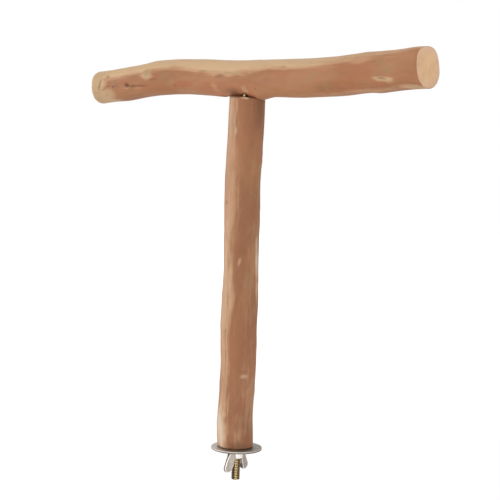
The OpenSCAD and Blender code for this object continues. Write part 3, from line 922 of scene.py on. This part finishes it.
def sawn_face(finish, straight, tan, pale, fresh, sapwood):
    """A cut face: rings, which are sine waves of the distance from the pith, and a paler, pinker ring outside."""
    across, above = (finish.node("ShaderNodeSeparateXYZ", None, {0: straight}, output=k) for k in (1, 2))
    flat = finish.node("ShaderNodeCombineXYZ", None, {1: across, 2: above})
    out = (across * across + above * above) ** 0.5 + 0.0012 * finish.noise(flat, 140, 2)
    face = finish.coats(
        fresh,
        ((out * RING_WAVES).sine().ramp(-0.2, 1.0) * 0.16, tan),
        (out.ramp(SAPWOOD_FROM, SAPWOOD_TO) * 0.75, sapwood),
        (finish.noise(flat, 330, 3).ramp(0.5, 0.75) * 0.3, pale),
    )
    return finish.dim(face, 0.95 + 0.1 * finish.noise(flat, 900, 3))


def wood(name, colours, seed):
    """Bark and sawn faces in one finish, told apart by the sawn mask."""
    finish = Finish(bpy.data.materials.new(name))
    *of_bark, fresh, sapwood = [paint(*colour) for colour in colours]
    tan, pale, dark = of_bark[2], of_bark[3], of_bark[5]
    straight, sawn = finish.attribute("straight", "Vector"), finish.attribute("sawn")
    grain = [
        finish.noise(finish.stretched(straight, (along, across, across), (seed, *aside)), 1.0, detail, rough)
        for (along, across), aside, detail, rough in GRAIN
    ]
    streaks, fibres, blotch = grain[2:]
    face = sawn_face(finish, straight, tan, pale, fresh, sapwood)
    colour = finish.coats(bark(finish, of_bark, grain), (sawn, face), (sawn * finish.attribute("dark"), dark))
    normal = finish.bump(fibres * 0.5 + streaks + 0.6 * blotch, 0.16)
    rough = 0.55 + 0.16 * streaks - 0.06 * finish.attribute("pale")
    return finish.principled({"Base Color": colour, "Roughness": rough, "Normal": normal, "Specular IOR Level": 0.35})


# Plain, deep, tan, pale, red, dark, olive, mauve, fresh and sapwood. Tan and pale also paint light, and dark also
# paints shade
ARM_COLOURS = [(175, 122, 84), (159, 108, 71), (190, 145, 107), (204, 169, 129), (172, 108, 72), (92, 54, 32),
               (156, 130, 92), (170, 117, 88), (240, 198, 153), (234, 194, 162)]
POST_COLOURS = [(171, 120, 83), (154, 103, 70), (189, 147, 112), (210, 187, 161), (160, 103, 70), (84, 50, 32),
                (158, 130, 96), (160, 109, 81), (220, 182, 138), (218, 182, 150)]
arm_piece.data.materials.append(wood("arm_wood", ARM_COLOURS, 0.0))
post_piece.data.materials.append(wood("post_wood", POST_COLOURS, 5.0))
print("wood finishes made")

# %% [markdown]
# ## Threads
# A thread is a ridge wound round a bar. On a grid of heights and angles it is one formula: the radius depends only
# on how far along its pitch a point is, counted from a start that climbs with the angle.
# The machine thread is a full V. The wood thread is a thin sharp ridge with bare core between.

# %% Threaded bars
THREAD_COLUMNS, ROWS_A_TURN, TIP_R, THREAD_SHARP, SHANK_SHARE = 72, 14, 0.5, 50, 0.985


def threaded_bar(name, low, high, r, pitch, depth, ridge, tapers, place=(0, 0), shank=None):
    """A bar with a helical ridge, ended by a cone at each end.

    Its radius is core + depth x ridge(share of the pitch), with share = z / pitch - angle / 360. The tapers are the
    cones' lengths, low and high, and the shank is the middle and the half length of a plain part.
    """
    z = np.linspace(low, high, int((high - low) / (pitch / ROWS_A_TURN)))
    z = np.concatenate([[low], z, [high]])[:, None]
    angle = steps_round(THREAD_COLUMNS)
    radius = r - depth + depth * ridge((z / pitch - angle / (2 * np.pi)) % 1)
    if shank:
        radius = np.where(np.abs(z - shank[0]) < shank[1], SHANK_SHARE * r, radius)
    for from_end, taper in zip((z - low, high - z), tapers):
        radius = np.minimum(radius, TIP_R + (r - TIP_R) * np.clip(from_end / taper, 0, 1))
    radius[[0, -1]] = 0
    return smooth(capped_tube(name, turned_form(radius, angle, z, place)), THREAD_SHARP)


def full_v(share):
    """A V thread with broad flats at its crest, as rolling and plating leave them."""
    return np.clip((1 - np.abs(2 * share - 1)) * 1.7 - 0.06, 0, 1)


def wood_ridge(share):
    """A thin ridge on a bare core."""
    return np.clip(1.15 - np.abs(share - 0.5) / 0.17, 0, 1) ** 1.2


STUD_REACH, STUD_HOLD, STUD_PITCH, STUD_DEPTH, STUD_TAPERS = 25.6, 26.2, 1.27, 0.58, (0.775, 7)
SCREW_HALF, SCREW_PITCH, SCREW_DEPTH, SCREW_TAPERS, SHANK_HALF = 19.05, 2.54, 0.9, (7, 7), 1.9
stud = threaded_bar("foot_stud", -STUD_REACH, STUD_HOLD, STUD_R, STUD_PITCH, STUD_DEPTH, full_v, STUD_TAPERS)
screw = threaded_bar(
    "dowel_screw", POST_LENGTH - SCREW_HALF, POST_LENGTH + SCREW_HALF, SCREW_R, SCREW_PITCH, SCREW_DEPTH,
    wood_ridge, SCREW_TAPERS, (SCREW_X, 0), (POST_LENGTH, SHANK_HALF))
print("stud:", len(stud.data.polygons), "faces, screw:", len(screw.data.polygons))

# %% [markdown]
# Handling polishes a thread's crests, and dirt and painted shade lie in its roots. Both could be painted on, but both
# follow from how far a point is from the axis, so they are worked out and stored on the vertices, as the wood's masks
# are.
# The stud also gets a painted highlight down one side and painted dark reflections down two others, by the angle round
# it.

# %% Wear on the threads
def wear_on_thread(piece, r, depth, x=0.0, painted_stripes=0.0):
    """Crests rub bright, and roots hold dirt and painted shade: both follow from the distance out. A stud also gets
    painted stripes of highlight and dark reflection.
    """
    out, turned = round_axis(vertices_mm(piece), x)
    # Painted highlight down the stud at 314 and 120 degrees, and painted dark reflections at 242 and 5 degrees.
    highlit_and_worn = np.maximum(bell(turn_between(turned, 314), 22), bell(turn_between(turned, 120), 40))
    painted_dark_sides = 0.9 * step_up(turn_between(turned, 242), 50, 38) + 0.45 * step_up(turn_between(turned, 5), 40, 24)
    crest, root = step_up(out, r - 0.3 * depth, r), step_up(out, r - 0.35 * depth, r - depth)
    crest, root = crest * (1 - painted_stripes * (1 - 0.8 * highlit_and_worn)), root * (0.85 - 0.65 * painted_stripes * highlit_and_worn)
    put_attribute(piece, "wear", np.maximum(crest, 0.55 * painted_stripes * highlit_and_worn))
    put_attribute(piece, "grime", np.maximum(root, painted_stripes * painted_dark_sides))


wear_on_thread(stud, STUD_R, STUD_DEPTH, painted_stripes=1.0)
wear_on_thread(screw, SCREW_R, SCREW_DEPTH, SCREW_X)
print("threads stand", STUD_DEPTH, "and", SCREW_DEPTH, "mm proud")

# %% [markdown]
# ## The washer
# A washer is punched from sheet. The punch rolls the edge over on one face and leaves it sharper on the other.
# Tumbling then knocks the edges and dents the faces a little. The section is a rounded bar, carried round a circle.

# %% Punched washer
WASHER_T, WASHER_R, HOLE_R, LONGEST_SIDE, WASHER_COLUMNS = 1.65, 19.05, 3.57, 0.7, 288
# Corner radii at the rim above, the hole above, the hole below and the rim below, and the height of the knocks
WASHER_CORNERS, KNOCKS, UPPER_FACE, WASHER_SHARP, CORNER_POINTS = (0.3, 0.3, 0.22, 0.45), 0.02, -0.6, 40, 9


def rounded_section(inner, outer, low, high, radii):
    """Points round a rectangle with round corners: (outer, high), (inner, high), (inner, low) and (outer, low)."""
    corners = [(outer, high, 1, 1, 0), (inner, high, -1, 1, 90), (inner, low, -1, -1, 180), (outer, low, 1, -1, 270)]
    rows = []
    for (x, z, sx, sz, start), r in zip(corners, radii):
        a = np.radians(start + np.linspace(0, 90, CORNER_POINTS))
        rows.append(np.stack([x - sx * r + r * np.cos(a), z - sz * r + r * np.sin(a)], -1))
    return np.concatenate(rows)


def spaced(section, longest):
    """The same closed outline with points added, so that no side is longer than given."""
    ends = np.roll(section, -1, axis=0)
    pieces = []
    for a, b in zip(section, ends):
        count = max(1, int(np.ceil(np.linalg.norm(b - a) / longest)))
        pieces.append(a + (b - a) * (np.arange(count) / count)[:, None])
    return np.concatenate(pieces)


def punched_washer(name):
    """The rounded section carried round a circle, its upper face knocked down here and there by noise."""
    section = spaced(rounded_section(HOLE_R, WASHER_R, -WASHER_T, 0, WASHER_CORNERS), LONGEST_SIDE)
    radius, height = section[:, :1], section[:, 1:]
    angle = steps_round(WASHER_COLUMNS)
    knocked = KNOCKS * (growth(radius / WASHER_R, np.degrees(angle) + 0 * radius, 14, 60, 61) - 1)
    height = height + knocked * (height > UPPER_FACE)
    return smooth(ring_skin(name, turned_form(radius, angle, height)), WASHER_SHARP)


washer = punched_washer("wide_washer")
print("washer:", len(washer.data.polygons), "faces")

# %% [markdown]
# A washer rubs bright along its rim, and painted highlights lie on stretches of the rim and on the side towards the
# left lamp. Painted shade lies in a ring round the wood's foot on its upper face, under the rim and on the side towards
# +X. The distance out, the angle and the height say where each of these lies.

# %% Wear on the washer
# Radius and width of the painted shade ring round the wood's foot
SHADE_RING_R, SHADE_RING_WIDTH = 13.7, 0.9


def wear_on_washer(piece):
    """A rim rubbed bright, with painted highlights on stretches of it and a painted lit side, and painted shade round
    the wood's foot, under the rim and towards +X.
    """
    points = vertices_mm(piece)
    out, turned = round_axis(points)
    height = points[:, 2]
    rim = step_up(out, WASHER_R - 0.35, WASHER_R - 0.1)
    # Painted highlights on stretches of the rim, at the front and here and there behind.
    painted_highlight = np.maximum(bell(turn_between(turned, 288), 13), bell(turn_between(turned, 338), 24))
    behind = turn_between(turned, 306) > 90
    painted_highlight = np.maximum(painted_highlight, step_up(growth(0 * turned, turned, 1, 14, 63), 0.1, 0.7) * behind)
    upper_rim = rim * step_up(height, -0.8, -0.4) * (0.3 + 0.7 * painted_highlight)
    # Painted light on the upper face's side towards the left lamp.
    painted_lit_side = 0.4 * step_up(turn_between(turned, 235), 75, 30) * (height > -0.3)
    put_attribute(piece, "wear", np.maximum(upper_rim, painted_lit_side))
    # Painted shade: a contact shadow round the wood's foot, most at the front, and shade under the rim and towards +X.
    at_front = 0.3 + 0.7 * step_up(turn_between(turned, 314), 75, 40)
    painted_shade = bell(out - SHADE_RING_R, SHADE_RING_WIDTH) * (height > UPPER_FACE) * at_front
    shaded_lower_rim = rim * step_up(height, -0.75, -1.15)
    painted_shaded_side = step_up(turn_between(turned, 10), 80, 40)
    put_attribute(piece, "grime", np.maximum.reduce([0.8 * shaded_lower_rim, 0.9 * painted_shade, 0.2 * painted_shaded_side]))


wear_on_washer(washer)
print("the stain lies", SHADE_RING_R, "mm out")

# %% [markdown]
# ## The wing nut
# A cast wing nut has no sharp inner corner: its blades flow into the hub. Joined solids would need a bevel at a
# messy seam. A distance field gives the soft joint for free: each form is the distance to its surface, and two
# forms are blended where they meet. The skin is then the set of points where the field is zero, found by putting
# one vertex into each small cell that the surface crosses.

# %% A skin from a field
def field_skin(name, field, low, cell, move):
    """The surface where a field of distances on a grid is zero, facing outwards.

    Where a grid edge from a to b changes sign, the surface crosses it at the share a / (a - b). Each crossed cell
    has one vertex, at the mean of its edges' crossings, and each crossed edge one quad, through its four cells.
    """
    shape = np.array(field.shape) - 1
    total, count = np.zeros((*shape, 3)), np.zeros(shape)
    crossed = []
    for axis, ahead in enumerate(np.eye(3, dtype=int)):
        start = np.argwhere(np.diff(field < 0, axis=axis))
        a, b = field[tuple(start.T)], field[tuple((start + ahead).T)]
        crossing = start + (a / (a - b))[:, None] * ahead
        p, q = np.delete(np.eye(3, dtype=int), axis, axis=0)
        ring = np.stack([start, start - p, start - p - q, start - q])
        for cells in ring:
            np.add.at(total, tuple(cells.T), crossing)
            np.add.at(count, tuple(cells.T), 1)
        crossed.append((ring, (a < 0) == (axis == 1)))
    used = count > 0
    number = np.cumsum(used).reshape(shape) - 1
    quads = []
    for ring, turned_over in crossed:
        quad = number[tuple(np.moveaxis(ring, -1, 0))].T
        quads.append(np.where(turned_over[:, None], quad[:, ::-1], quad))
    points = low + cell * total[used] / count[used][:, None]
    return make_piece(name, move(points), np.concatenate(quads))


print("field skin is ready")

# %% [markdown]
# The blade's outline is the hull of three circles: at the root, at the shoulder and at the tip. A tapered bar
# between two circles has a simple distance, and the hull is the union of three such bars and the triangle between.

# %% The blades' outline
NUT_SPAN, NUT_HEIGHT, WING_TIP_R, WING_TURN = 26.2, 16.9, 3.6, math.radians(86)
WING_ROOT_T, WING_TIP_T, DEEP_INSIDE = 5.0, 2.0, -0.5
# The outline's inner circles as shares of half the span, the height and the tip's radius
ROOT_SHARES, SHOULDER_SHARES = (0.4, 0.215, 0.86), (0.557, 0.46, 0.945)


def tapered_bar(x, z, a, b, ra, rb):
    """Distance to the hull of two circles, at a with radius ra and at b with radius rb."""
    ax, az = b[0] - a[0], b[1] - a[1]
    length = math.hypot(ax, az)
    px, pz = x - a[0], z - a[1]
    along, beside = (px * ax + pz * az) / length, np.abs(pz * ax - px * az) / length
    slope = (ra - rb) / length
    upright = math.sqrt(1 - slope * slope)
    side = beside * upright + along * slope - ra
    place = along * upright - beside * slope
    near_a, near_b = np.hypot(along, beside) - ra, np.hypot(along - length, beside) - rb
    return np.where(place < 0, near_a, np.where(place > length * upright, near_b, side))


def triangle_inside(x, z, corners):
    """True inside a triangle, whichever way its corners run."""
    sides = [(corners[k], corners[(k + 1) % 3]) for k in range(3)]
    turns = [(b[0] - a[0]) * (z - a[1]) - (b[1] - a[1]) * (x - a[0]) for a, b in sides]
    return np.all([s > 0 for s in turns], axis=0) | np.all([s < 0 for s in turns], axis=0)


def blade_field(x, z):
    """The blades seen from the side: the distance to their outline, and half their thickness there."""
    half = NUT_SPAN / 2
    root, shoulder = ((half * a, NUT_HEIGHT * b, WING_TIP_R * c) for a, b, c in (ROOT_SHARES, SHOULDER_SHARES))
    tip = (half - WING_TIP_R, NUT_HEIGHT - WING_TIP_R, WING_TIP_R)
    xs = np.abs(x)
    bars = [tapered_bar(xs, z, a[:2], b[:2], a[2], b[2]) for a, b in ((root, shoulder), (shoulder, tip), (root, tip))]
    outline = np.minimum.reduce(bars)
    between = triangle_inside(xs, z, [root, shoulder, tip])
    outline = np.where(between, np.minimum(outline, DEEP_INSIDE), outline)
    outwards = np.clip((xs - root[0]) / (tip[0] - root[0]), 0, 1)
    return outline, (WING_ROOT_T + (WING_TIP_T - WING_ROOT_T) * outwards) / 2


print("half thickness at the root and the tip:", blade_field(np.array([0, NUT_SPAN / 2]), 0)[1])

# %% [markdown]
# The hub is a short tapered bar with rounded edges, and the blades are their outline with a thickness. Blended, and
# less the bore, they are the whole nut. It is worked out upright at the origin, and its skin is then turned and hung
# under the washer, where the clamped nut stands.

# %% The nut's field
HUB_HEIGHT, HUB_BASE_R, HUB_END_R, BORE_R = 6.9, 5.475, 4.675, 3.225
HUB_EDGE, BLADE_EDGE, FILLET, COUNTERSINK = 0.55, 0.6, 1.2, 0.55


def soft_union(a, b, k):
    """The lesser of two distances, with the corner between them filled to about k."""
    h = np.clip(0.5 + 0.5 * (b - a) / k, 0, 1)
    return b * (1 - h) + a * h - k * h * (1 - h)


def round_overlap(a, b, r):
    """Distance to what two forms share, with the edge between them rounded to the radius r."""
    a, b = a + r, b + r
    return np.minimum(np.maximum(a, b), 0) + np.hypot(np.maximum(a, 0), np.maximum(b, 0)) - r


def nut_field(x, y, z):
    """Hub and two blades, blended, less the bore and its countersinks. z runs from the bearing face to the tips."""
    out = np.hypot(x, y)
    hub_r = HUB_BASE_R + (HUB_END_R - HUB_BASE_R) * z / HUB_HEIGHT
    hub = round_overlap(out - hub_r, np.maximum(z - HUB_HEIGHT, -z), HUB_EDGE)
    outline, half_thick = blade_field(x, z)
    blades = round_overlap(outline, np.abs(y) - half_thick, BLADE_EDGE)
    sink = np.maximum(COUNTERSINK - z, z - HUB_HEIGHT + COUNTERSINK)
    bore = BORE_R + np.clip(sink, 0, COUNTERSINK)
    return np.maximum(soft_union(hub, blades, FILLET), bore - out)


print("field at the centre of the bore:", round(float(nut_field(0.0, 0.0, HUB_HEIGHT / 2)), 2))

# %% The nut's skin
CELL, OFF_GRID, NUT_SHARP = 0.2, 0.013, 60
NUT_ROOM = np.array([1.0, 1.5, 1.0])
WING_COS, WING_SIN = math.cos(WING_TURN), math.sin(WING_TURN)


def to_place(points):
    """Turns the nut to its clamped position and hangs it under the washer."""
    x, y, z = points.T
    return np.stack([x * WING_COS - y * WING_SIN, x * WING_SIN + y * WING_COS, -WASHER_T - z], -1)


def from_place(points):
    """The reverse of to_place."""
    x, y, z = points.T
    return x * WING_COS + y * WING_SIN, y * WING_COS - x * WING_SIN, -WASHER_T - z


grid_low = np.array([-NUT_SPAN / 2, -HUB_BASE_R, 0]) - NUT_ROOM + OFF_GRID
grid_high = np.array([NUT_SPAN / 2, HUB_BASE_R, NUT_HEIGHT]) + NUT_ROOM
axes = [np.arange(low, high, CELL) for low, high in zip(grid_low, grid_high)]
nut = field_skin("winged_nut", nut_field(*np.meshgrid(*axes, indexing="ij")), grid_low, CELL, to_place)
smooth(nut, NUT_SHARP)
print("wing nut:", len(nut.data.polygons), "faces")

# %% [markdown]
# A cast nut shines where fingers rub it, on its proud edges, and holds dirt and painted shade in its hollows. A mesh
# could be searched for them, but the field knows them too: its mean a short way round a point is above zero on an edge
# and below zero in a hollow. Painted highlights go on the hub's flat sides, the arrises and the blade at -x, and
# painted shade on the narrow faces and the blade at +x.

# %% Wear on the nut
def hollowness(x, y, z, reach=0.5):
    """How hollow or proud the surface is: the mean of the field at six points a short way off, over that way."""
    steps = [(reach, 0, 0), (0, reach, 0), (0, 0, reach)]
    near = [nut_field(x + k * a, y + k * b, z + k * c) for a, b, c in steps for k in (-1, 1)]
    return np.mean(near, axis=0) / reach


def wear_on_nut(piece):
    """Proud edges rub bright, and painted highlights go on the hub's flat sides, the arrises and the blade at -x.
    Hollows hold dirt and painted shade, and painted shade goes on the narrow faces and the blade at +x, which lies in
    shade.
    """
    x, y, z = from_place(vertices_mm(piece))
    proud = hollowness(x, y, z)
    outline, half_thick = blade_field(x, z)
    under_face = half_thick - np.abs(y)
    narrow_face = step_up(outline, -0.5, -0.15) * step_up(under_face, 0.35, 0.7) * step_up(np.abs(x), 4.6, 5.6)
    arris = step_up(outline, -0.9, -0.5) * bell(under_face - 0.1, 0.3) * step_up(np.abs(x), 4.0, 5.0)
    hub_side = step_up(np.abs(x), 5.2, 4.2) * step_up(np.abs(y), 2.8, 3.6)
    # Proud edges are wear; the hub's sides, the arrises and the blade at -x are painted highlights.
    highlit_and_worn = [0.8 * step_up(proud, 0.06, 0.2), 0.9 * hub_side, 0.7 * arris, 0.1 * (x < -5)]
    # Hollows are dirt and painted shade; the narrow faces and the blade at +x are painted shade.
    dirty_and_shaded = [step_up(proud, -0.02, -0.12), 0.75 * narrow_face, 0.16 * (x > 5)]
    put_attribute(piece, "wear", np.maximum.reduce(highlit_and_worn))
    put_attribute(piece, "grime", np.maximum.reduce(dirty_and_shaded))
    return proud


proud = wear_on_nut(nut)
print("the nut is proud from", round(float(proud.min()), 2), "to", round(float(proud.max()), 2))

# %% [markdown]
# ## The metal finishes
# Zinc plating is a mirror that handling has dulled: its roughness wanders, and fine scratches run all ways.
# On the screw and stud the plating is passivated yellow, which shows as a dull gold.

# %% Plated metal
def plated(name, colours, rough, seed, dents):
    """Clouded plating with grit and fine scratches, brighter where wear and painted highlights lie, and dull and brown
    where dirt and painted shade lie.
    """
    finish = Finish(bpy.data.materials.new(name))
    plain, tint, worn_and_lit, dirt_and_shade = [paint(*colour) for colour in colours]
    place = finish.node("ShaderNodeTexCoord", output="Object")
    cloud, grit = finish.noise(place, 420, 3), finish.noise(place, 2600, 2)
    scratch = finish.noise(finish.stretched(place, (300, 9000, 300), (seed, 0, 0)), 1.0, 2)
    wear = finish.attribute("wear") * (0.4 + cloud).ramp(0.4, 1.0)
    grime = finish.attribute("grime") * (0.5 + 0.6 * cloud + 0.4 * grit).ramp(0.3, 1.0)
    base = finish.dim(finish.coats(plain, (cloud.ramp(0.35, 0.7), tint)), 0.86 + 0.28 * grit)
    base = finish.coats(base, (wear, worn_and_lit), (grime, dirt_and_shade))
    normal = finish.bump(cloud + 0.35 * grit + 0.25 * scratch, dents)
    gloss = rough + 0.18 * cloud + 0.1 * grit - 0.1 * wear + 0.3 * grime
    return finish.principled({"Base Color": base, "Metallic": 1.0 - 0.5 * grime, "Normal": normal, "Roughness": gloss})


# Plain, tint, worn and dirt colours, roughness, seed and depth of the dents in mm. The worn colour also paints
# highlights, and the dirt colour also paints shade and dark reflections
DIRT_AND_SHADE = (72, 58, 44)
METALS = {
    "yellow_zinc": ([(150, 126, 84), (126, 102, 64), (216, 190, 148), (64, 46, 20)], 0.12, 1.0, 0.02),
    "bright_zinc": ([(158, 151, 145), (142, 136, 130), (214, 203, 192), DIRT_AND_SHADE], 0.3, 2.0, 0.02),
    "cast_zinc": ([(178, 167, 157), (156, 146, 138), (246, 240, 234), DIRT_AND_SHADE], 0.24, 3.0, 0.05),
}
metals = {name: plated(name, *looks) for name, looks in METALS.items()}
for piece, metal in ((screw, "yellow_zinc"), (stud, "yellow_zinc"), (washer, "bright_zinc"), (nut, "cast_zinc")):
    piece.data.materials.append(metals[metal])
print("metal finishes:", list(metals))

# %% [markdown]
# ## Everything rides on its body
# Each piece moves with the body of the solid that it stands for, which is then hidden but still collides.

# %% Riding, and what is replaced
RIDERS = [
    (arm_piece, "arm", "perch_arm", "arm_wood"),
    (post_piece, "post", "upright_post", "post_wood"),
    (screw, "joint_screw", "joint_screw", "yellow_zinc"),
    (stud, "post", "hanger_bolt", "yellow_zinc"),
    (washer, "washer", "fender_washer", "bright_zinc"),
    (nut, "wing_nut", "wing_nut", "bright_zinc"),
]
for piece, body, node_name, slot_name in RIDERS:
    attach(piece, body)
    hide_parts(node_name)
    print(piece.name, "rides on", body, "for", node_name)
